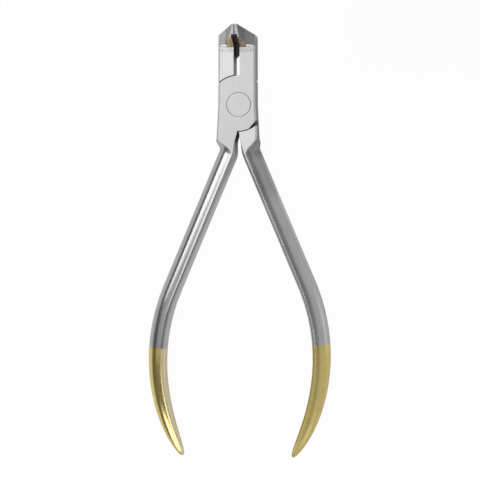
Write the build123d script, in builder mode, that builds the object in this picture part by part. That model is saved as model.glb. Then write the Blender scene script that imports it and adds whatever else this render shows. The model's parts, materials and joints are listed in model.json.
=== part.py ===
"""Distal-end cutting pliers: two crossing arms on a lap joint, with carbide blades brazed in a raised nose.

Frame: the pliers lie on their back. The origin is on the pivot axis in the plane of the back faces,
+Z is the pivot axis towards the blades' side, +Y runs to the cutting tip and +X is the front view's right.
All lengths are in millimetres and all angles in degrees.
"""
from build123d import *

import os
from math import asin, cos, radians, sin, sqrt, tan

# Lap joint
joint_thickness = 7.0
joint_width = 11.0           # across the joint, level with the pivot
shoulder_width = 12.1        # across the joint, where the handles leave it
shoulder_reach = 10.0        # pivot to the start of the handles
pivot_offset = 0.6           # the pivot sits this far right of the head's centre line
lap_clearance = 0.06         # between the sliding faces of the two half laps
upper_seam_radius = 8.55     # round edge of each half lap, towards the jaws
lower_seam_radius = 7.75     # the same edge, towards the handles
seam_gap = 0.3               # open line between a half lap and the other arm
relief_start = 66.0          # turn, from the cross axis, where the lower edge leaves its circle
relief_slope = 52.0          # rise of the straight relief from there
crotch_gap = 0.6             # slit between the two handles' roots, at the half laps' edge
left_spread = 14.0           # turn of the slit's left wall, which opens towards the handles
right_spread = 3.5           # turn of its right wall
crotch_offset = 0.1          # the slit sits this far left of the pivot
edge_chamfer = 0.5

# Pivot pin
pin_head_radius = 3.56
pin_head_depth = 1.6
pin_body_radius = 2.9
pin_shank_radius = 2.4
pin_flare_radius = 2.95
pin_flare_depth = 0.7
pin_clearance = 0.04

# Jaws and their raised nose
slot_width = 1.8             # wire slot between the jaws
head_width = 10.9
tip_reach = 23.15            # pivot to the tip of the nose
nose_length = 5.75           # foot of the nose to its tip
nose_height = 5.0            # crest of the nose above the front face
crest_length = 3.85          # tip to the lower end of the crest
crest_half_width = 1.06      # flat land beside each cutting edge, at the middle of the crest
roof_pitch = 54.3            # slope of the nose's two roof faces
roof_toe = 10.9              # the roof faces close in by this turn towards the tip
corner_setback = 2.65        # tip to the head's outer corners
tip_half_width = 0.75        # half of the narrow end at the tip
tip_lean = 2.25              # the end leans back by this much, from the tip to the back face
hollow_length = 2.4          # shallow hollow across the front face, below the foot of the nose
hollow_depth = 0.1
hollow_fillet = 0.5          # stretch over which the hollow turns up into the nose's foot
lip_length = 8.95            # tip to the lower end of the wire-hold lips
lip_height = 2.4             # lips above the back face

# Carbide blades and their braze
blade_gap = 0.16             # between the cutting edges as the pliers lie
edge_length = 3.05           # tip to the lower end of the cutting edges
blade_land = 1.1             # depth of each edge before its relief
blade_relief = 2.0           # depth at which the relief meets the slot wall
insert_width = 2.85          # centre line to the outer wall of the pocket
pocket_floor = 5.2           # pocket floor above the back face
braze_thickness = 0.1
braze_skirt = 0.55           # braze fillet along the front face, below the nose
braze_climb = 1.1            # braze fillet up the foot of the blades

# Handles
handle_reach = 104.1         # pivot to the handles' ends
handle_width = 5.25
splay_angle = 22.9           # each handle's turn from the centre line
splay_origin = 5.7           # pivot to the point where the handles' axes cross
bend_start = 53.9            # pivot to the end of the straight stretch
bend_difference = 0.75       # the left handle bends this much later and the right this much sooner
grip_radius = 54.5
root_blend = 4.8             # length over which the square root turns into the D-shaped handle
root_sections = 8
grip_sections = 30
end_crowding = 1.7           # power that draws the sections together towards the end
width_taper = 8.5            # power of the taper in width, rounding the end
height_taper = 6.0           # power of the taper in height
tip_land = 0.25              # length left off the tapered end
root_round = 0.05            # inner edge at the root, nearly sharp
inner_round = 0.9            # rounding of the inner edge along the handle
front_flat = 0.12            # narrow flat along the inner edge of the handle
outer_flat = 0.15            # half height of the flat on the outer side
crown_drop = 0.04            # share of the crown's fall in its first, nearly flat stretch
round_share = 0.55           # length of a curve's end handles, as a share of the rounding

# Values worked out from those above
centre_x = -pivot_offset
crest_height = joint_thickness + nose_height
nose_start = tip_reach - nose_length
crest_low_reach = tip_reach - crest_length
hollow_start = nose_start - hollow_length
hollow_low_reach = nose_start - hollow_fillet
hollow_low_height = joint_thickness - hollow_depth
front_layer = (joint_thickness + lap_clearance) / 2
back_layer = (joint_thickness - lap_clearance) / 2
reach = 3 * shoulder_width   # longer than any cut across the joint


def mix(start, end, share):
    """Value that is this share of the way from start to end."""
    return start + (end - start) * share


def slot_wall(side):
    """X of the jaw's wall along the wire slot; side is +1 on the right and -1 on the left."""
    return centre_x + side * slot_width / 2


def crotch_wall(side, distance):
    """X of the inner wall of a handle's root, this far below the pivot."""
    turn = radians(right_spread if side > 0 else left_spread)
    spread = (distance - lower_seam_radius) * tan(turn)
    return -crotch_offset + side * (crotch_gap / 2 + spread)


def handle_axis(length, side):
    """Distance out, distance along and turn of one handle's axis, this far from the joint."""
    splay = radians(splay_angle)
    bend = bend_start - side * bend_difference
    straight_length = (bend - shoulder_reach) / cos(splay)
    out = (shoulder_reach - splay_origin) * tan(splay) + min(length, straight_length) * sin(splay)
    if length <= straight_length:
        return out, -shoulder_reach - length * cos(splay), splay
    turn = splay - (length - straight_length) / grip_radius
    out += grip_radius * (cos(turn) - cos(splay))
    return out, -bend + grip_radius * (sin(turn) - sin(splay)), turn


def handle_length(side):
    """Length of one handle's axis, from the joint to its end."""
    splay = radians(splay_angle)
    bend = bend_start - side * bend_difference
    end_turn = asin(sin(splay) - (handle_reach - bend) / grip_radius)
    return (bend - shoulder_reach) / cos(splay) + grip_radius * (splay - end_turn)


def handle_stations(side):
    """Placing plane, width, height and blend of each section of one handle, from its root to its end."""
    root_outer = centre_x + side * shoulder_width / 2
    root_inner = crotch_wall(side, shoulder_reach)
    root_width = side * (root_outer - root_inner)
    root_drift = side * (root_outer + root_inner) / 2 - handle_axis(0, side)[0]
    full_length = handle_length(side)
    grip_length = full_length - tip_land - root_blend
    lengths = [root_blend * step / (root_sections - 1) for step in range(root_sections)]
    for step in range(1, grip_sections + 1):
        lengths.append(root_blend + grip_length * (1 - (1 - step / grip_sections) ** end_crowding))
    for length in lengths:
        share = min(length / root_blend, 1)
        blend = share * share * (3 - 2 * share)
        out, along, turn = handle_axis(length, side)
        out += root_drift * (1 - blend)
        turn *= blend
        taper = length / full_length
        width = mix(root_width, handle_width, blend) * sqrt(1 - taper**width_taper)
        height = joint_thickness * sqrt(1 - taper**height_taper)
        place = Plane(
            origin=(side * out, along, joint_thickness / 2),
            x_dir=(side * cos(turn), sin(turn), 0),
            z_dir=(sin(turn), -side * cos(turn), 0),
        )
        yield place, width, height, blend


def draw_handle_section(width, height, blend):
    """Face of one handle section: square with chamfers at blend 0, D-shaped at blend 1."""
    inner, outer, top = -width / 2, width / 2, height / 2
    edge = mix(root_round, inner_round * width / handle_width, blend)
    hold = edge * (1 - round_share)
    flat_end = mix(outer - edge_chamfer, inner + edge + front_flat * width / handle_width, blend)
    side = mix(top - edge_chamfer, outer_flat * height / joint_thickness, blend)
    across, drop = outer - flat_end, top - side
    lead = (flat_end + across * mix(1 / 3, round_share, blend), top - drop * mix(1 / 3, crown_drop, blend))
    tail = (outer - across * mix(1 / 3, 0, blend), side + drop * mix(1 / 3, round_share, blend))
    with BuildLine() as outline:
        Line((inner, edge - top), (inner, top - edge))
        Bezier((inner, top - edge), (inner, top - hold), (inner + hold, top), (inner + edge, top))
        Line((inner + edge, top), (flat_end, top))
        Bezier((flat_end, top), lead, tail, (outer, side))
        Line((outer, side), (outer, -side))
        Bezier((outer, -side), (tail[0], -tail[1]), (lead[0], -lead[1]), (flat_end, -top))
        Line((flat_end, -top), (inner + edge, -top))
        Bezier((inner + edge, -top), (inner + hold, -top), (inner, hold - top), (inner, edge - top))
    make_face(outline.edges())


def draw_box(x_start, x_end, y_start, y_end, mode=Mode.ADD):
    """Rectangle between two corners."""
    with Locations(((x_start + x_end) / 2, (y_start + y_end) / 2)):
        Rectangle(abs(x_end - x_start), abs(y_end - y_start), mode=mode)


def draw_shoulder_quarter(side):
    """Quarter of the joint that holds the other arm's root, up to the crotch's sloping wall."""
    far = 2 * shoulder_reach
    Polygon(
        (crotch_wall(-side, 0), 0),
        (crotch_wall(-side, far), -far),
        (side * reach, -far),
        (side * reach, 0),
        align=None,
    )


def trim(*planes):
    """Cut the part that is being built back to the inner side of each plane."""
    for plane in planes:
        split(bisect_by=plane, keep=Keep.BOTTOM)


def slot_plane(side):
    """Wall of a jaw along the wire slot."""
    return Plane(origin=(slot_wall(side), 0, 0), z_dir=(-side, 0, 0))


def head_planes(side):
    """Outer faces of one half of the nose: sloping roof, cut-off corner and leaning end."""
    pitch, toe = radians(roof_pitch), radians(roof_toe)
    land_edge = (centre_x + side * crest_half_width, tip_reach - crest_length / 2, crest_height)
    tip_corner = (centre_x + side * tip_half_width, tip_reach, crest_height)
    roof = Plane(origin=land_edge, z_dir=(side * sin(pitch) * cos(toe), sin(pitch) * sin(toe), cos(pitch)))
    corner = Plane(origin=tip_corner, z_dir=(side * corner_setback, head_width / 2 - tip_half_width, 0))
    end = Plane(origin=tip_corner, z_dir=(0, crest_height, -tip_lean))
    return roof, corner, end


def draw_pin_profile(allowance=0):
    """Half section of the stepped pin: head, body, shank and flared end, widened by the allowance."""
    seat = joint_thickness - pin_head_depth - allowance
    Polygon(
        (0, 0),
        (pin_flare_radius + allowance, 0),
        (pin_shank_radius + allowance, pin_flare_depth),
        (pin_shank_radius + allowance, back_layer),
        (pin_body_radius + allowance, back_layer),
        (pin_body_radius + allowance, seat),
        (pin_head_radius + allowance, seat),
        (pin_head_radius + allowance, joint_thickness),
        (0, joint_thickness),
        align=None,
    )


os.makedirs("parts", exist_ok=True)

# Stepped pivot pin, flush with both faces and flared into the rear arm
with BuildPart() as pivot_pin:
    with BuildSketch(Plane.XZ):
        draw_pin_profile()
    revolve(axis=Axis.Z)
pivot_pin.part.label = "pivot_pin"
export_step(pivot_pin.part, "parts/pivot_pin.step")

# The same shape with running clearance, for the bore of the arm that turns on the pin
with BuildPart() as running_bore:
    with BuildSketch(Plane.XZ):
        draw_pin_profile(pin_clearance)
    revolve(axis=Axis.Z)

# Outer form of the joint, from which both arms take their half laps, jaws and shoulders
with BuildPart() as joint_form:
    with BuildSketch():
        for side in (1, -1):
            Polygon(
                (centre_x, nose_start),
                (centre_x + side * head_width / 2, nose_start),
                (centre_x + side * joint_width / 2, 0),
                (centre_x + side * shoulder_width / 2, -shoulder_reach),
                (centre_x, -shoulder_reach),
                align=None,
            )
    extrude(amount=joint_thickness)
    rims = joint_form.edges().group_by(Axis.Z)
    outer_rims = (rims[0] + rims[-1]).filter_by(lambda rim: abs(rim.center().X - centre_x) > joint_width / 3)
    chamfer(outer_rims, edge_chamfer)
    with BuildSketch(Plane.YZ.offset(-reach)):
        with BuildLine():
            halfway = (hollow_start + hollow_low_reach) / 2
            Bezier(
                (hollow_start, joint_thickness),
                (halfway, joint_thickness),
                (halfway, hollow_low_height),
                (hollow_low_reach, hollow_low_height),
            )
            Bezier(
                (hollow_low_reach, hollow_low_height),
                (hollow_low_reach + hollow_fillet * round_share, hollow_low_height),
                (nose_start, joint_thickness - hollow_depth * round_share),
                (nose_start, joint_thickness),
            )
            Line((nose_start, joint_thickness), (hollow_start, joint_thickness))
        make_face()
    extrude(amount=2 * reach, mode=Mode.SUBTRACT)

# Each arm: the jaw on one side, a half lap across the pivot and the handle on the other side
arms = {
    "front_arm": {"side": 1, "own": front_layer, "other": 0, "bore": running_bore},
    "rear_arm": {"side": -1, "own": 0, "other": back_layer, "bore": pivot_pin},
}
for name, arm_form in arms.items():
    side = arm_form["side"]

    with BuildPart() as nose:
        head_edge = centre_x + side * head_width / 2
        with BuildSketch():
            draw_box(centre_x, head_edge, nose_start, tip_reach)
        extrude(amount=crest_height)
        back_rim = Plane(origin=(head_edge, 0, edge_chamfer), z_dir=(side, 0, -1))
        trim(*head_planes(side), slot_plane(side), back_rim)
        with BuildSketch():
            lip_wall = centre_x + side * blade_gap / 2
            lip_start = tip_reach - lip_length
            Polygon(
                (slot_wall(side), lip_start),
                (lip_wall, lip_start + (slot_width - blade_gap) / 2),
                (lip_wall, tip_reach),
                (slot_wall(side) + side * edge_chamfer, tip_reach),
                (slot_wall(side) + side * edge_chamfer, lip_start),
                align=None,
            )
        extrude(amount=lip_height)
        trim(*head_planes(side))

    with BuildPart() as handle:
        for place, width, height, blend in handle_stations(-side):
            with BuildSketch(place):
                draw_handle_section(width, height, blend)
        loft(ruled=True)

    with BuildPart() as arm:
        add(joint_form.part)
        with BuildSketch(Plane.XY.offset(arm_form["own"])):
            draw_box(slot_wall(side), -side * reach, 0, reach)
            Circle(upper_seam_radius, mode=Mode.SUBTRACT)
        extrude(amount=back_layer, mode=Mode.SUBTRACT)
        with BuildSketch(Plane.XY.offset(arm_form["own"])):
            draw_shoulder_quarter(side)
            Circle(lower_seam_radius, mode=Mode.SUBTRACT)
            start, slope = radians(relief_start), radians(relief_slope)
            corner = (side * lower_seam_radius * cos(start), -lower_seam_radius * sin(start))
            run, rise = side * joint_width * cos(slope), joint_width * sin(slope)
            Polygon(corner, (corner[0] + run, corner[1] + rise), (corner[0] + run, corner[1]), align=None)
        extrude(amount=back_layer, mode=Mode.SUBTRACT)
        with BuildSketch(Plane.XY.offset(arm_form["other"])):
            Circle(upper_seam_radius + seam_gap)
            draw_box(-reach, reach, 0, -reach, mode=Mode.SUBTRACT)
            draw_box(slot_wall(side), -side * reach, 0, reach)
        extrude(amount=front_layer, mode=Mode.SUBTRACT)
        with BuildSketch(Plane.XY.offset(arm_form["other"])):
            Circle(lower_seam_radius + seam_gap)
            draw_box(-reach, reach, 0, reach, mode=Mode.SUBTRACT)
            draw_shoulder_quarter(side)
        extrude(amount=front_layer, mode=Mode.SUBTRACT)
        add(nose.part)
        add(handle.part)
        with BuildSketch(Plane.XY.offset(pocket_floor)):
            draw_box(centre_x, centre_x + side * insert_width, nose_start - braze_skirt, tip_reach)
        extrude(amount=crest_height, mode=Mode.SUBTRACT)
        add(arm_form["bore"].part, mode=Mode.SUBTRACT)
    arm.part.label = name
    export_step(arm.part, f"parts/{name}.step")

# Carbide blades in their pockets, and the braze that holds them
for hand, side in (("right", 1), ("left", -1)):
    with BuildPart() as insert:
        insert_start = nose_start + braze_thickness
        insert_floor = pocket_floor + braze_thickness
        with BuildSketch(Plane.YZ.offset(centre_x)):
            Polygon(
                (insert_start, insert_floor),
                (insert_start, joint_thickness),
                (crest_low_reach + braze_thickness, crest_height),
                (tip_reach, crest_height),
                (tip_reach, insert_floor),
                align=None,
            )
        extrude(amount=side * (insert_width - braze_thickness))
        trim(*head_planes(side))
        with BuildSketch(Plane.XZ.offset(-nose_start)):
            edge = centre_x + side * blade_gap / 2
            Polygon(
                (centre_x, 0),
                (slot_wall(side), 0),
                (slot_wall(side), crest_height - blade_relief),
                (edge, crest_height - blade_land),
                (edge, crest_height),
                (centre_x, crest_height),
                align=None,
            )
        extrude(amount=-nose_length, mode=Mode.SUBTRACT)
        with BuildSketch():
            draw_box(centre_x, slot_wall(side), nose_start, tip_reach - edge_length)
        extrude(amount=crest_height, mode=Mode.SUBTRACT)
    insert.part.label = f"{hand}_blade_insert"
    export_step(insert.part, f"parts/{hand}_blade_insert.step")

    with BuildPart() as braze:
        climb_run = braze_climb * (crest_low_reach - nose_start) / nose_height
        with BuildSketch(Plane.YZ.offset(slot_wall(side))):
            Polygon(
                (nose_start - braze_skirt, pocket_floor),
                (nose_start - braze_skirt, joint_thickness - hollow_depth),
                (nose_start + climb_run, joint_thickness + braze_climb),
                (crest_low_reach, crest_height),
                (tip_reach, crest_height),
                (tip_reach, pocket_floor),
                align=None,
            )
        extrude(amount=side * (insert_width - slot_width / 2))
        trim(*head_planes(side))
        add(insert.part, mode=Mode.SUBTRACT)
    braze.part.label = f"{hand}_braze"
    export_step(braze.part, f"parts/{hand}_braze.step")
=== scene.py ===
"""Finishes for the distal-end cutting pliers: steel arms with gold ends, pin, carbide blades and braze."""

import json
import math

import bmesh
import bpy
from mathutils import Matrix, Vector


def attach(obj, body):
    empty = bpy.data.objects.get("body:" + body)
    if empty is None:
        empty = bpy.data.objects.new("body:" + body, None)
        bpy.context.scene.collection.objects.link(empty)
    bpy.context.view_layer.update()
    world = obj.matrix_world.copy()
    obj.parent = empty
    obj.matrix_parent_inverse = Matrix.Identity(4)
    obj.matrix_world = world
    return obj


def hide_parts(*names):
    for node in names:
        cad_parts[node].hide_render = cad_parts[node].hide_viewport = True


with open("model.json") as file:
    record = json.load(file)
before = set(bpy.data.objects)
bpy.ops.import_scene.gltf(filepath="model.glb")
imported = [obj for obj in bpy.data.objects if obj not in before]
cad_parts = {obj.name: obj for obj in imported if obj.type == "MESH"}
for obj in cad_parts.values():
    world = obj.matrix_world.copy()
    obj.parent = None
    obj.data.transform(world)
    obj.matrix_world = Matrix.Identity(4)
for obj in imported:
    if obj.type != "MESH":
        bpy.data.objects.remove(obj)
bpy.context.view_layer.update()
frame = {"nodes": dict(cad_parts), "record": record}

bl_info = {
    "name": "Distal-End Cutting Pliers",
    "version": (1, 0, 0),
    "blender": (4, 5, 0),
    "location": "3D View > Sidebar > Pliers",
    "description": "Finishes the pliers' steel, gold, carbide and braze, and sets the stage",
    "category": "Object",
}

MM = 0.001
FRAME_SIDE = 480                   # pixels along each side of the picture
SENSOR_WIDTH = 36.0                # millimetres
MERGE_DISTANCE = 0.002 * MM        # corners closer than this are one
FLAT_ANGLE = math.radians(0.4)     # faces that turn by less than this are merged
EDGE_ANGLE = math.radians(28)      # edges that turn by more than this are sharp, and worn
CENTRE_X = -0.6 * MM               # centre line of the jaws, beside the pivot
HANDLE_START = -18 * MM            # below it both handles have their full D-shaped section
GOLD_X = 24.5 * MM                 # the handles' distance from the pivot where the plating starts
INNER_FADE = 0.13                  # turn over which the gold changes to its inner tone
FLOOR_SIDE = 6.0                   # metres
FLOOR_HEIGHT = -0.02 * MM          # just below the pliers' flat back
LIGHT_DISTANCE = 0.9               # metres from the aim to each light
LIGHTS = (                         # name, turns across and along in degrees, size in metres, level
    ("upper_softbox", (-37, 27), (0.62, 0.58), "upper_level"),
    ("lower_softbox", (-36, -36), (0.36, 0.42), "lower_level"),
    ("top_card", (-12, 9.5), (0.45, 0.3), "top_level"),
    ("front_card", (-8, -30), (0.24, 0.6), "front_level"),
    ("far_card", (0, 63), (1.8, 0.86), "end_level"),
    ("near_card", (0, -65), (1.8, 0.8), "end_level"),
    ("left_card", (-83, 0), (0.26, 1.8), "left_level"),
    ("gap_card", (-32, -1), (0.46, 0.24), "gap_level"),
    ("right_card", (57, 0), (1.26, 1.8), "card_level"),
    ("side_card", (80, 6), (0.42, 0.32), "side_level"),
)


def colour_setting(name, description, default):
    """Colour that the user can change."""
    return bpy.props.FloatVectorProperty(
        name=name, description=description, subtype="COLOR", size=3, min=0, max=1, default=default
    )


def length_setting(name, description, default):
    """Length that the user can change, in millimetres here."""
    return bpy.props.FloatProperty(
        name=name,
        description=description,
        unit="LENGTH",
        subtype="DISTANCE",
        default=default * MM,
        precision=6,
    )


def share_setting(name, description, default):
    """Number from 0 to 1 that the user can change."""
    return bpy.props.FloatProperty(
        name=name, description=description, subtype="FACTOR", min=0, max=1, default=default
    )


def level_setting(name, description, default):
    """Brightness that the user can change."""
    return bpy.props.FloatProperty(name=name, description=description, min=0, default=default)


def angle_setting(name, description, default):
    """Angle that the user can change, in degrees here."""
    return bpy.props.FloatProperty(
        name=name, description=description, unit="ROTATION", subtype="ANGLE", default=math.radians(default)
    )


class SteelFinish(bpy.types.PropertyGroup):
    """Satin steel of the arms and the pin."""

    # Both arms are the same steel: the front arm is painted darker as painted shade, the rear arm brighter
    # as painted light.
    front_shaded_colour: colour_setting("Front Arm", "Colour of the front arm's steel", (0.535, 0.535, 0.53))
    rear_lit_colour: colour_setting("Rear Arm", "Colour of the rear arm's brighter steel", (0.62, 0.618, 0.612))
    roughness: share_setting("Head Roughness", "Softness of the satin's reflections on the head", 0.23)
    grip_roughness: share_setting("Handle Roughness", "Softness of the reflections on the left handle", 0.16)
    right_matte: share_setting("Right Handle Matte", "Added softness of the right handle's reflections", 0.1)
    # Root Tone darkens the steel's colour near the right handle's root.
    root_tone: share_setting("Root Tone", "Brightness of the darker satin at the right handle's root", 0.78)
    # Painted shade: Scoop Tone darkens the steel in the scoop below the shoulder, where the recess turns
    # away from the light.
    scoop_shade_tone: share_setting("Scoop Tone", "Brightness of that satin in the scoop below the shoulder", 0.68)
    marks: share_setting("Satin Marks", "Strength of the fine marks along the handles", 0.5)
    splay: angle_setting("Marks' Turn", "Turn of the marks along each handle", 22.9)
    edge_rounding: length_setting("Edge Rounding", "Width of the worn rounding along sharp edges", 0.09)
    # Painted shade: this dark colour stands in for the shade in the slots, seams, relief and crotch, at the
    # pin's rim and on the blades' slot walls and cutting edge.
    painted_shade_colour: colour_setting("Oxide", "Colour of the dark film in slots and seams", (0.21, 0.2, 0.19))


class GoldFinish(bpy.types.PropertyGroup):
    """Polished gold plating at the handles' ends."""

    colour: colour_setting("Gold", "Colour of the gold plating", (0.86, 0.69, 0.27))
    roughness: share_setting("Gold Roughness", "Softness of the gold's reflections", 0.16)
    start: length_setting("Gold Start", "Distance from the pivot to the start of the plating", 70.65)
    left_drop: length_setting("Left Drop", "How much lower the plating starts on the left handle", 1.35)
    slant: share_setting("Gold Slant", "Fall of the plating's edge towards the inner side", 0.09)
    # Painted light on the gold's inner edges, chosen by which way they face: the left is painted paler as a
    # painted reflection, the right painted duller as painted shade.
    left_inner_reflection: colour_setting("Left Inner Gold", "Paler gold of the left inner edge", (0.82, 0.75, 0.53))
    right_inner_shade: colour_setting("Right Inner Gold", "Duller gold of the right inner edge", (0.5, 0.41, 0.16))
    inner_matte: share_setting("Inner Matte", "How much softer the inner edges' reflections are", 0.22)


class BladeFinish(bpy.types.PropertyGroup):
    """Carbide blades and their braze."""

    carbide: colour_setting("Carbide", "Colour of the ground carbide", (0.44, 0.44, 0.443))
    carbide_roughness: share_setting("Carbide Roughness", "Softness of the carbide's reflections", 0.26)
    braze: colour_setting("Braze", "Colour of the brazing metal", (0.7, 0.55, 0.37))
    flux: colour_setting("Flux", "Colour of the darker stain in the braze", (0.41, 0.32, 0.23))
    # Painted shade: the right blade's carbide and braze are painted darker than the left's.
    right_shade_tone: share_setting("Right Blade Tone", "Brightness of the right blade's darker carbide", 0.9)
    right_braze_shade_tone: share_setting("Right Braze Tone", "Brightness of the right blade's darker braze", 0.74)
    edge_rounding: length_setting("Blade Rounding", "Width of the rounding along the blades' edges", 0.03)


class StageLook(bpy.types.PropertyGroup):
    """Camera, light and floor."""

    camera_distance: length_setting("Camera Distance", "Camera to the middle of the pliers", 500)
    camera_turn: angle_setting("Camera Turn", "Turn of the camera to the right of the pivot axis", 8)
    pixel_size: length_setting("Pixel Size", "Width of one pixel, at half the joint's thickness", 0.2964)
    aim: bpy.props.FloatVectorProperty(
        name="Aim",
        description="Point at the middle of the picture",
        subtype="TRANSLATION",
        unit="LENGTH",
        size=3,
        default=(-0.06 * MM, -39.9 * MM, 3.5 * MM),
    )
    upper_level: level_setting("Upper Box Level", "Brightness of the softbox on the upper left", 2.0)
    lower_level: level_setting("Lower Box Level", "Brightness of the softbox on the lower left", 2.4)
    top_level: level_setting("Top Card Level", "Brightness of the card above the joint", 1.2)
    front_level: level_setting("Front Card Level", "Brightness of the card below the joint", 2.2)
    end_level: level_setting("End Card Level", "Brightness of the cards beyond tip and handles", 0.38)
    left_level: level_setting("Left Card Level", "Brightness of the card low on the left", 0.45)
    gap_level: level_setting("Gap Card Level", "Brightness of the dim card between the softboxes", 0.33)
    card_level: level_setting("Right Card Level", "Brightness of the card on the right", 0.36)
    side_level: level_setting("Side Card Level", "Brightness of the card low on the right", 0.34)
    surround: level_setting("Surround", "Brightness of the studio around the pliers", 0.14)
    floor_colour: colour_setting("Floor", "Colour of the floor", (0.76, 0.76, 0.76))
    floor_shade: colour_setting("Floor Shade", "Colour of its shaded upper right corner", (0.3, 0.3, 0.3))
    floor_white: share_setting("Floor White", "Share of white in the floor as the camera sees it", 0.97)
    # The mirrored shares make the floor glow white in the metal's reflections, zone by zone, as painted
    # light.
    head_mirrored: share_setting("Mirrored by Head", "The same share as the head mirrors it", 0.03)
    grip_mirrored: share_setting("Mirrored by Handles", "The same share as the handles mirror it", 0.3)
    left_mirrored: share_setting("Mirrored on the Left", "The same share to the left of the head", 0.65)


def deselect_all():
    """Leave nothing selected, so that an operator acts only on the new piece."""
    if bpy.context.object and bpy.context.object.mode != "OBJECT":
        bpy.ops.object.mode_set(mode="OBJECT")
    bpy.ops.object.select_all(action="DESELECT")


def make_active(piece):
    """Select one piece alone."""
    deselect_all()
    piece.select_set(True)
    bpy.context.view_layer.objects.active = piece


def body_of_node(node):
    """Name of the body that carries a node."""
    for body, members in frame["record"]["behaviour"]["bodies"].items():
        if node in members:
            return body
    raise RuntimeError(f"no body carries {node}")


def part_flat_faces(mesh):
    """Mark the borders of the flat front and back faces as sharp, so that they stay evenly shaded."""
    shape = bmesh.new()
    shape.from_mesh(mesh)
    for edge in shape.edges:
        flat = [abs(face.normal.z) > 0.99999 for face in edge.link_faces]
        if any(flat) and not all(flat):
            edge.smooth = False
    shape.to_mesh(mesh)
    shape.free()


def even_handle_normals(mesh):
    """Weigh narrow faces more than wide ones, so that the handles' uneven triangles shade smoothly."""
    shape = bmesh.new()
    shape.from_mesh(mesh)
    evened = {}
    for vertex in shape.verts:
        if vertex.co.y < HANDLE_START and all(edge.smooth for edge in vertex.link_edges):
            total = Vector()
            for loop in vertex.link_loops:
                total += loop.face.normal * loop.calc_angle() / loop.face.calc_area()
            evened[vertex.index] = total.normalized()
    shape.free()
    normals = [corner.vector.copy() for corner in mesh.corner_normals]
    for loop in mesh.loops:
        normals[loop.index] = evened.get(loop.vertex_index, normals[loop.index])
    mesh.normals_split_custom_set(normals)


def finished_copy(node, name, rounding, material):
    """Copy of a node's solid with merged faces and rounded edges, standing in for the node."""
    source = frame["nodes"][node]
    piece = bpy.data.objects.new(name, source.data.copy())
    bpy.context.scene.collection.objects.link(piece)
    make_active(piece)
    bpy.ops.mesh.customdata_custom_splitnormals_clear()
    bpy.ops.object.mode_set(mode="EDIT")
    bpy.ops.mesh.select_all(action="SELECT")
    bpy.ops.mesh.remove_doubles(threshold=MERGE_DISTANCE)
    bpy.ops.mesh.dissolve_limited(angle_limit=FLAT_ANGLE)
    bpy.ops.object.mode_set(mode="OBJECT")
    bpy.ops.object.shade_smooth_by_angle(angle=EDGE_ANGLE)
    part_flat_faces(piece.data)
    bevel = piece.modifiers.new("worn_edges", "BEVEL")
    bevel.width = rounding
    bevel.segments = 2
    bevel.limit_method = "ANGLE"
    bevel.angle_limit = EDGE_ANGLE
    bevel.use_clamp_overlap = True
    bevel.miter_outer = "MITER_ARC"
    bevel.harden_normals = True
    bpy.ops.object.modifier_apply(modifier=bevel.name)
    for vertex in piece.data.vertices:
        vertex.co.z = max(vertex.co.z, 0.0)
    even_handle_normals(piece.data)
    piece.data.materials.clear()
    piece.data.materials.append(material)
    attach(piece, body_of_node(node))
    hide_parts(node)
    return piece


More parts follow.
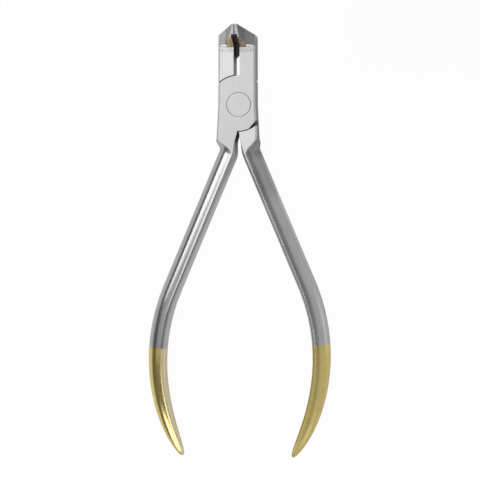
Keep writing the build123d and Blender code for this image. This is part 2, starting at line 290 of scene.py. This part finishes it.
class Finish:
    """A material's node tree, with short ways to add and join nodes."""

    def __init__(self, name):
        self.material = bpy.data.materials.new(name)
        self.material.use_nodes = True
        self.tree = self.material.node_tree
        self.shader = self.tree.nodes["Principled BSDF"]

    def feed(self, node, key, value):
        """Set one input of a node to a value, or link it to another node's output."""
        if isinstance(value, bpy.types.NodeSocket):
            self.tree.links.new(value, node.inputs[key])
        else:
            node.inputs[key].default_value = value

    def add(self, kind, inputs, **settings):
        """New node with these settings and inputs."""
        node = self.tree.nodes.new(kind)
        for key, value in settings.items():
            setattr(node, key, value)
        for key, value in inputs.items():
            self.feed(node, key, value)
        return node

    def math(self, operation, first, second=0.0):
        """Result of one sum on two values."""
        return self.add("ShaderNodeMath", {0: first, 1: second}, operation=operation).outputs[0]

    def fade(self, value, start, end):
        """Smooth rise from 0 at the start to 1 at the end."""
        limits = {"Value": value, "From Min": start, "From Max": end}
        return self.add("ShaderNodeMapRange", limits, interpolation_type="SMOOTHSTEP").outputs["Result"]

    def spread(self, value, low, high):
        """Value from 0 to 1 spread over another range."""
        limits = {"Value": value, "To Min": low, "To Max": high}
        return self.add("ShaderNodeMapRange", limits).outputs["Result"]

    def band(self, value, low, high, soft):
        """Mask that is 1 between two limits and fades within the soft margin outside them."""
        return self.both(self.fade(value, low - soft, low), self.fade(value, high + soft, high))

    def both(self, *masks):
        """Mask where all of these masks are."""
        result = masks[0]
        for mask in masks[1:]:
            result = self.math("MULTIPLY", result, mask)
        return result

    def either(self, *masks):
        """Mask where any of these masks is."""
        result = masks[0]
        for mask in masks[1:]:
            result = self.math("MAXIMUM", result, mask)
        return result

    def between(self, share, first, second):
        """Number that is this share of the way from the first to the second."""
        return self.add("ShaderNodeMix", {0: share, 2: first, 3: second}).outputs[0]

    def blend(self, share, first, second):
        """Colour that is this share of the way from the first to the second."""
        node = self.add("ShaderNodeMix", {0: share, 6: first, 7: second}, data_type="RGBA")
        return node.outputs[2]

    def place(self):
        """Object coordinates, whole and as X, Y and Z."""
        whole = self.add("ShaderNodeTexCoord", {}).outputs["Object"]
        return whole, *self.add("ShaderNodeSeparateXYZ", {0: whole}).outputs

    def radius(self):
        """Distance from the pivot axis."""
        whole = self.place()[0]
        flat = self.add("ShaderNodeVectorMath", {0: whole, 1: (1, 1, 0)}, operation="MULTIPLY").outputs[0]
        return self.add("ShaderNodeVectorMath", {0: flat}, operation="LENGTH").outputs["Value"]

    def across(self):
        """Distance to the right of the jaws' centre line."""
        return self.math("SUBTRACT", self.place()[1], CENTRE_X)

    def right_half(self):
        """Mask of what lies to the right of the jaws' centre line."""
        return self.fade(self.across(), -0.02 * MM, 0.02 * MM)

    def facing(self):
        """X, Y and Z of the direction in which the surface faces, in the object's own axes."""
        normal = self.add("ShaderNodeTexCoord", {}).outputs["Normal"]
        return self.add("ShaderNodeSeparateXYZ", {0: normal}).outputs

    def steepness(self):
        """How far the surface turns away from the flat front and back: 0 on them and 1 on upright walls."""
        return self.math("SUBTRACT", 1.0, self.math("ABSOLUTE", self.facing()["Z"]))

    def noise(self, vector, stretch, detail=3.0):
        """Noise from 0 to 1, with this many waves per metre along each axis."""
        scaled = self.add("ShaderNodeVectorMath", {0: vector, 1: stretch}, operation="MULTIPLY").outputs[0]
        inputs = {"Vector": scaled, "Scale": 1.0, "Detail": detail, "Roughness": 0.55}
        return self.add("ShaderNodeTexNoise", inputs).outputs[0]

    def relief(self, height, depth):
        """Fine relief of this depth on the surface."""
        bump = self.add("ShaderNodeBump", {"Height": height, "Strength": 1.0, "Distance": depth})
        self.feed(self.shader, "Normal", bump.outputs[0])


def rgba(colour):
    """Opaque colour."""
    return (*colour, 1)


def tone(finish, colour, level):
    """Colour brightened or darkened by a level around 1."""
    grey = finish.add("ShaderNodeCombineXYZ", {0: level, 1: level, 2: level}).outputs[0]
    scaled = finish.add("ShaderNodeVectorMath", {0: colour, 1: grey}, operation="MULTIPLY")
    return scaled.outputs[0]


def along_handles(finish, splay):
    """Object coordinates turned so that Y runs along the handle on either side."""
    x, y, z = finish.place()[1:]
    mirrored = finish.add("ShaderNodeCombineXYZ", {0: finish.math("ABSOLUTE", x), 1: y, 2: z}).outputs[0]
    turn = {"Vector": mirrored, "Angle": -splay}
    return finish.add("ShaderNodeVectorRotate", turn, rotation_type="Z_AXIS").outputs[0]


def satin_marks(finish, splay):
    """Fine marks, straight along the head and turned along each handle."""
    whole, x, y, z = finish.place()
    straight = finish.noise(whole, (2600, 45, 2600), 4.0)
    turned = finish.noise(along_handles(finish, splay), (2600, 45, 2600), 4.0)
    below = finish.fade(y, -11 * MM, -15 * MM)
    return finish.between(below, straight, turned)


def pin_rim_shade_mask(finish):
    """Painted shade: thin, uneven dark line around the pin's head, darker to the left and right."""
    whole, x, y, z = finish.place()
    sides = finish.spread(finish.fade(finish.math("ABSOLUTE", x), 1.5 * MM, 3.2 * MM), 0.45, 1.0)
    patches = finish.fade(finish.noise(whole, (350, 350, 350)), 0.35, 0.65)
    return finish.both(
        finish.band(finish.radius(), 3.5 * MM, 3.66 * MM, 0.04 * MM),
        finish.fade(z, 4 * MM, 4.1 * MM),
        finish.spread(patches, 0.4, 1.0),
        sides,
    )


def slot_and_seam_shade_mask(finish):
    """Where shade is painted dark: in the wire slot, on the lips, in the seams, in the relief, in the crotch
    and at the pin's rim.
    """
    x, y, z = finish.place()[1:]
    off_centre = finish.math("ABSOLUTE", finish.across())
    radius = finish.radius()
    steep = finish.fade(finish.steepness(), 0.25, 0.55)
    inside = finish.band(z, 0.2 * MM, 6.75 * MM, 0.12 * MM)
    slot = finish.both(
        finish.fade(off_centre, 1.02 * MM, 0.96 * MM),
        finish.spread(finish.fade(y, 11.5 * MM, 15.5 * MM), 0.25, 1.0),
        finish.fade(y, 7.9 * MM, 8.3 * MM),
        inside,
    )
    seam = finish.both(
        steep,
        inside,
        finish.fade(off_centre, 5.3 * MM, 5.15 * MM),
        finish.band(radius, 6.5 * MM, 8.95 * MM, 0.1 * MM),
    )
    relief = finish.both(
        finish.band(z, 3.0 * MM, 4.0 * MM, 0.1 * MM),
        finish.band(radius, 6.9 * MM, 8.2 * MM, 0.3 * MM),
        finish.fade(y, -3.0 * MM, -3.6 * MM),
    )
    crotch = finish.both(
        steep,
        finish.fade(finish.math("ABSOLUTE", x), 1.7 * MM, 1.5 * MM),
        finish.band(y, -10.6 * MM, -7.6 * MM, 0.9 * MM),
    )
    return finish.either(slot, seam, relief, crotch, pin_rim_shade_mask(finish))


def gold_mask(finish, gold):
    """Where the handles' ends are plated, up to a slanting edge."""
    whole, x, y, z = finish.place()
    drop = finish.math("MULTIPLY", finish.math("LESS_THAN", x, 0.0), -gold.left_drop)
    outwards = finish.math("SUBTRACT", finish.math("ABSOLUTE", x), GOLD_X)
    fall = finish.math("MULTIPLY", outwards, gold.slant)
    edge = finish.math("ADD", finish.math("ADD", drop, fall), -gold.start)
    waver = finish.spread(finish.noise(whole, (900, 900, 900)), -0.12 * MM, 0.12 * MM)
    height = finish.math("SUBTRACT", finish.math("ADD", y, waver), edge)
    return finish.fade(height, 0.08 * MM, -0.08 * MM)


def arm_steel(arm, steel, gold):
    """Satin steel with fine marks along the handles, painted shade in the slots and seams, and polished gold
    ends.
    """
    finish = Finish(arm["node"] + "_steel")
    matte = arm["matte"]
    whole, x, y, z = finish.place()
    marks = satin_marks(finish, steel.splay)
    mottle = finish.noise(whole, (240, 240, 240), 4.0)
    grain = finish.noise(whole, (9000, 9000, 9000), 2.0)
    plated = gold_mask(finish, gold)
    painted_shade = slot_and_seam_shade_mask(finish)

    streaks = finish.spread(marks, 1 - 0.28 * steel.marks, 1 + 0.28 * steel.marks)
    clouds = finish.spread(mottle, 0.95, 1.05)
    # Darkens the colour near the right handle's root.
    root = finish.both(finish.fade(x, 3 * MM, 6 * MM), finish.band(y, -24 * MM, -13 * MM, 6 * MM))
    # Painted shade in the scoop, where it dips below the front face.
    scoop = finish.both(
        finish.fade(x, 1.5 * MM, 3.5 * MM),
        finish.band(y, -14 * MM, -11 * MM, 3 * MM),
        finish.fade(z, 6.98 * MM, 6.85 * MM),
    )
    root_level = finish.spread(root, 1.0, steel.root_tone)
    level = finish.both(streaks, clouds, root_level, finish.spread(scoop, 1.0, steel.scoop_shade_tone))
    bare = tone(finish, arm["colour"], level)
    # Painted reflection and shade: the gold's inner edges, found by which way they face, are painted paler
    # on the left and duller on the right.
    inwards = finish.math("MULTIPLY", finish.facing()["X"], arm["inner_side"])
    inner = finish.both(
        finish.fade(inwards, arm["inner_start"], arm["inner_start"] + INNER_FADE),
        finish.spread(finish.fade(inwards, 0.75, 0.95), 1.0, arm["wall_share"]),
    )
    plating = finish.blend(inner, rgba(gold.colour), rgba(arm["inner_painted_gold"]))
    polished = tone(finish, plating, finish.spread(mottle, 0.93, 1.06))
    metal = finish.blend(plated, bare, polished)
    # Painted shade: the dark colour laid in the slots, seams, relief, crotch and at the pin's rim.
    shaded = tone(finish, steel.painted_shade_colour, finish.spread(mottle, 0.5, 1.6))
    finish.feed(finish.shader, "Base Color", finish.blend(painted_shade, metal, shaded))

    below = finish.fade(y, -12 * MM, -16 * MM)
    satin = finish.spread(below, steel.roughness, steel.grip_roughness + matte)
    satin = finish.math("ADD", satin, finish.spread(marks, -0.06, 0.06))
    glossy = finish.spread(mottle, gold.roughness + matte - 0.03, gold.roughness + matte + 0.05)
    glossy = finish.math("ADD", glossy, finish.spread(inner, 0.0, gold.inner_matte))
    rough = finish.between(plated, satin, glossy)
    finish.feed(finish.shader, "Roughness", finish.between(painted_shade, rough, 0.55))
    finish.feed(finish.shader, "Metallic", finish.spread(painted_shade, 1.0, 0.5))

    height = finish.math("ADD", marks, finish.math("MULTIPLY", grain, 0.2))
    unplated = finish.spread(plated, 1.0, 0.15)
    finish.relief(finish.math("MULTIPLY", height, unplated), 0.0007 * MM)
    return finish.material


def pin_steel(steel):
    """Satin steel with fine turned rings, a little mottling and a painted shade line at its rim."""
    finish = Finish("pin_steel")
    whole, x, y, z = finish.place()
    turn = finish.math("MULTIPLY", finish.math("ARCTAN2", y, x), 0.2 * MM)
    ring_place = finish.add("ShaderNodeCombineXYZ", {0: finish.radius(), 1: turn, 2: z}).outputs[0]
    rings = finish.noise(ring_place, (4200, 900, 4200), 4.0)
    mottle = finish.noise(whole, (300, 300, 300), 4.0)
    level = finish.math("MULTIPLY", finish.spread(rings, 0.92, 1.08), finish.spread(mottle, 0.96, 1.05))
    rim_shade = pin_rim_shade_mask(finish)
    # The pin takes the front arm's steel colour, painted darker as painted shade.
    turned = tone(finish, steel.front_shaded_colour, level)
    # Painted shade: the dark line at the pin's rim.
    finish.feed(finish.shader, "Base Color", finish.blend(rim_shade, turned, rgba(steel.painted_shade_colour)))
    finish.feed(finish.shader, "Metallic", finish.spread(rim_shade, 1.0, 0.5))
    rough = finish.spread(rings, steel.roughness - 0.06, steel.roughness + 0.06)
    finish.feed(finish.shader, "Roughness", rough)
    finish.relief(rings, 0.0005 * MM)
    return finish.material


def ground_carbide(blade, painted_shade_colour):
    """Ground carbide with fine marks across the edge, and painted shade along the wire slot and the cutting
    edge.
    """
    finish = Finish("ground_carbide")
    whole, x, y, z = finish.place()
    across = finish.across()
    marks = finish.noise(whole, (420, 5200, 420), 4.0)
    mottle = finish.noise(whole, (700, 700, 700), 4.0)
    steep = finish.fade(finish.steepness(), 0.75, 0.9)
    # Painted shade on the wire slot's walls.
    walls = finish.both(
        finish.fade(finish.math("ABSOLUTE", across), 1.0 * MM, 0.94 * MM),
        finish.fade(z, 11.95 * MM, 11.85 * MM),
        steep,
    )
    # Painted shade: a dark line on the left blade's side of the cutting edge, where the blades meet.
    edge = finish.both(
        finish.band(across, -0.28 * MM, 0.04 * MM, 0.04 * MM),
        finish.fade(z, 10.8 * MM, 11 * MM),
    )
    painted_shade = finish.either(walls, edge)
    # The right half is painted darker as painted shade.
    level = finish.both(
        finish.spread(marks, 0.86, 1.14),
        finish.spread(mottle, 0.92, 1.08),
        finish.spread(finish.right_half(), 1.0, blade.right_shade_tone),
    )
    ground = tone(finish, blade.carbide, level)
    shaded = tone(finish, painted_shade_colour, finish.spread(mottle, 0.4, 1.3))
    finish.feed(finish.shader, "Base Color", finish.blend(painted_shade, ground, shaded))
    finish.feed(finish.shader, "Metallic", finish.spread(painted_shade, 1.0, 0.5))
    rough = finish.spread(marks, blade.carbide_roughness - 0.06, blade.carbide_roughness + 0.06)
    finish.feed(finish.shader, "Roughness", rough)
    finish.relief(marks, 0.0005 * MM)
    return finish.material


def flowed_braze(blade):
    """Brazing metal: dull tan, with darker flux stains and a softly lumpy surface."""
    finish = Finish("flowed_braze")
    whole = finish.place()[0]
    lumps = finish.noise(whole, (1500, 1500, 1500), 3.0)
    stains = finish.fade(finish.noise(whole, (800, 800, 800), 5.0), 0.42, 0.68)
    metal = tone(finish, blade.braze, finish.spread(lumps, 0.8, 1.2))
    mixed = finish.blend(stains, metal, rgba(blade.flux))
    # Painted shade: the right braze is painted darker.
    level = finish.spread(finish.right_half(), 1.0, blade.right_braze_shade_tone)
    finish.feed(finish.shader, "Base Color", tone(finish, mixed, level))
    finish.feed(finish.shader, "Metallic", finish.spread(stains, 0.9, 0.5))
    finish.feed(finish.shader, "Roughness", finish.spread(stains, 0.36, 0.55))
    finish.relief(lumps, 0.03 * MM)
    return finish.material


class PLIERS_OT_arms(bpy.types.Operator):
    """Finish both arms in satin steel with gold ends"""

    bl_idname = "pliers.arms"
    bl_label = "Arms"

    def execute(self, context):
        steel = context.scene.pliers_steel
        gold = context.scene.pliers_gold
        arms = (
            {
                "node": "front_arm",
                # Painted shade: the front arm's steel is painted darker than the rear arm's.
                "colour": steel.front_shaded_colour,
                "matte": 0.0,
                "inner_side": 1.0,
                "inner_start": -0.05,
                "wall_share": 0.5,
                "inner_painted_gold": gold.left_inner_reflection,
            },
            {
                "node": "rear_arm",
                # Painted light: the rear arm's steel is painted brighter than the front arm's.
                "colour": steel.rear_lit_colour,
                "matte": steel.right_matte,
                "inner_side": -1.0,
                "inner_start": -0.2,
                "wall_share": 0.0,
                "inner_painted_gold": gold.right_inner_shade,
            },
        )
        for arm in arms:
            material = arm_steel(arm, steel, gold)
            finished_copy(arm["node"], arm["node"] + "_satin", steel.edge_rounding, material)
        return {"FINISHED"}


class PLIERS_OT_pin(bpy.types.Operator):
    """Finish the pivot pin with turned rings"""

    bl_idname = "pliers.pin"
    bl_label = "Pivot Pin"

    def execute(self, context):
        steel = context.scene.pliers_steel
        finished_copy("pivot_pin", "pivot_pin_satin", steel.edge_rounding, pin_steel(steel))
        return {"FINISHED"}


class PLIERS_OT_blades(bpy.types.Operator):
    """Finish the carbide blades and their braze"""

    bl_idname = "pliers.blades"
    bl_label = "Blades and Braze"

    def execute(self, context):
        blade = context.scene.pliers_blade
        carbide = ground_carbide(blade, context.scene.pliers_steel.painted_shade_colour)
        braze = flowed_braze(blade)
        for hand in ("left", "right"):
            finished_copy(f"{hand}_blade_insert", f"{hand}_blade_ground", blade.edge_rounding, carbide)
            finished_copy(f"{hand}_braze", f"{hand}_braze_metal", blade.edge_rounding, braze)
        return {"FINISHED"}


def aim_at(place, aim, up):
    """Rotation that looks from a place at a point, with a given direction upwards."""
    back = (place - aim).normalized()
    right = up.cross(back).normalized()
    return Matrix((right, back.cross(right), back)).transposed().to_quaternion()


def add_softbox(name, aim, turns, size, level):
    """Rectangular soft light that faces the pliers, at two turns from the vertical, across and along."""
    across, along = (math.radians(turn) for turn in turns)
    away = Vector((math.sin(across) * math.cos(along), math.sin(along), math.cos(across) * math.cos(along)))
    place = aim + away * LIGHT_DISTANCE
    bpy.ops.object.light_add(type="AREA", location=place)
    lamp = bpy.context.object
    lamp.name = name
    lamp.data.shape = "RECTANGLE"
    lamp.data.size, lamp.data.size_y = size
    lamp.data.energy = level * math.pi * size[0] * size[1]
    lamp.rotation_mode = "QUATERNION"
    lamp.rotation_quaternion = aim_at(place, aim, Vector((0, 1, 0)))


def floor_finish(look):
    """Pale floor that the camera sees as white, with the pliers' shadow on it; in the metal's reflections it
    glows white in zones beside the head, under the slot and below the handles, as painted light.
    """
    finish = Finish("floor_white")
    finish.tree.nodes.remove(finish.shader)
    path = finish.add("ShaderNodeLightPath", {}).outputs
    mirrored = finish.either(path["Is Glossy Ray"], path["Is Transmission Ray"])
    x, y = finish.place()[1:3]
    handles = finish.both(finish.fade(y, -5 * MM, -30 * MM), finish.fade(x, 26 * MM, 16 * MM))
    beside = finish.both(finish.band(y, -10 * MM, 8 * MM, 14 * MM), finish.fade(x, -25 * MM, -40 * MM))
    off_centre = finish.math("ABSOLUTE", finish.across())
    under = finish.both(finish.fade(off_centre, 5 * MM, 2 * MM), finish.band(y, 6 * MM, 14 * MM, 2 * MM))
    below = finish.spread(finish.either(handles, under), look.head_mirrored, look.grip_mirrored)
    left = finish.math("MULTIPLY", beside, look.left_mirrored)
    white = finish.either(
        finish.math("MULTIPLY", path["Is Camera Ray"], look.floor_white),
        finish.math("MULTIPLY", mirrored, finish.either(below, left)),
    )
    corner = finish.both(finish.fade(x, 10 * MM, 45 * MM), finish.fade(y, -10 * MM, 25 * MM))
    colour = finish.blend(corner, rgba(look.floor_colour), rgba(look.floor_shade))
    paint = finish.add("ShaderNodeBsdfDiffuse", {"Color": colour}).outputs[0]
    glow = finish.add("ShaderNodeEmission", {"Strength": 1.0}).outputs[0]
    mixed = finish.add("ShaderNodeMixShader", {0: white, 1: paint, 2: glow}).outputs[0]
    finish.feed(finish.tree.nodes["Material Output"], "Surface", mixed)
    return finish.material


def studio_surround(look):
    """World of even grey, which the camera sees as white."""
    world = bpy.data.worlds.new("studio")
    world.use_nodes = True
    nodes, links = world.node_tree.nodes, world.node_tree.links
    grey = nodes["Background"]
    grey.inputs["Color"].default_value = rgba((look.surround,) * 3)
    white = nodes.new("ShaderNodeBackground")
    white.inputs["Color"].default_value = (1, 1, 1, 1)
    path = nodes.new("ShaderNodeLightPath")
    mixed = nodes.new("ShaderNodeMixShader")
    links.new(path.outputs["Is Camera Ray"], mixed.inputs[0])
    links.new(grey.outputs[0], mixed.inputs[1])
    links.new(white.outputs[0], mixed.inputs[2])
    links.new(mixed.outputs[0], nodes["World Output"].inputs["Surface"])
    return world


class PLIERS_OT_stage(bpy.types.Operator):
    """Set the floor, the lights and the camera"""

    bl_idname = "pliers.stage"
    bl_label = "Stage"

    def execute(self, context):
        look = context.scene.pliers_stage
        aim = Vector(look.aim)
        deselect_all()
        bpy.ops.mesh.primitive_plane_add(size=FLOOR_SIDE, location=(0, 0, FLOOR_HEIGHT))
        floor = context.object
        floor.name = "floor"
        floor.data.materials.append(floor_finish(look))
        context.scene.world = studio_surround(look)
        for name, turns, size, level in LIGHTS:
            add_softbox(name, aim, turns, size, getattr(look, level))

        away = Vector((math.sin(look.camera_turn), 0, math.cos(look.camera_turn)))
        place = aim + away * look.camera_distance
        bpy.ops.object.camera_add(location=place)
        camera = context.object
        camera.name = "front_camera"
        camera.rotation_mode = "QUATERNION"
        camera.rotation_quaternion = aim_at(place, aim, Vector((0, 1, 0)))
        camera.data.sensor_width = SENSOR_WIDTH
        camera.data.lens = SENSOR_WIDTH * look.camera_distance / (look.pixel_size * FRAME_SIDE)
        camera.data.clip_start = 0.01
        context.scene.camera = camera
        context.scene.view_settings.view_transform = "Standard"
        return {"FINISHED"}


class PLIERS_PT_sidebar(bpy.types.Panel):
    """Sidebar panel with the pliers' finishes and stage"""

    bl_idname = "PLIERS_PT_sidebar"
    bl_label = "Cutting Pliers"
    bl_space_type = "VIEW_3D"
    bl_region_type = "UI"
    bl_category = "Pliers"

    def draw(self, context):
        for name in GROUPS:
            group = getattr(context.scene, name)
            for key in group.bl_rna.properties.keys():
                if key not in ("rna_type", "name"):
                    self.layout.prop(group, key)
        for operator in OPERATORS:
            self.layout.operator(operator.bl_idname)


GROUPS = {
    "pliers_steel": SteelFinish,
    "pliers_gold": GoldFinish,
    "pliers_blade": BladeFinish,
    "pliers_stage": StageLook,
}
OPERATORS = (PLIERS_OT_arms, PLIERS_OT_pin, PLIERS_OT_blades, PLIERS_OT_stage)


def register():
    for name, group in GROUPS.items():
        bpy.utils.register_class(group)
        setattr(bpy.types.Scene, name, bpy.props.PointerProperty(type=group))
    for operator in OPERATORS:
        bpy.utils.register_class(operator)
    bpy.utils.register_class(PLIERS_PT_sidebar)


def unregister():
    bpy.utils.unregister_class(PLIERS_PT_sidebar)
    for operator in reversed(OPERATORS):
        bpy.utils.unregister_class(operator)
    for name, group in GROUPS.items():
        delattr(bpy.types.Scene, name)
        bpy.utils.unregister_class(group)


def main():
    """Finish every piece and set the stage."""
    register()
    bpy.ops.pliers.arms()
    bpy.ops.pliers.pin()
    bpy.ops.pliers.blades()
    bpy.ops.pliers.stage()


if __name__ == "__main__":
    main()
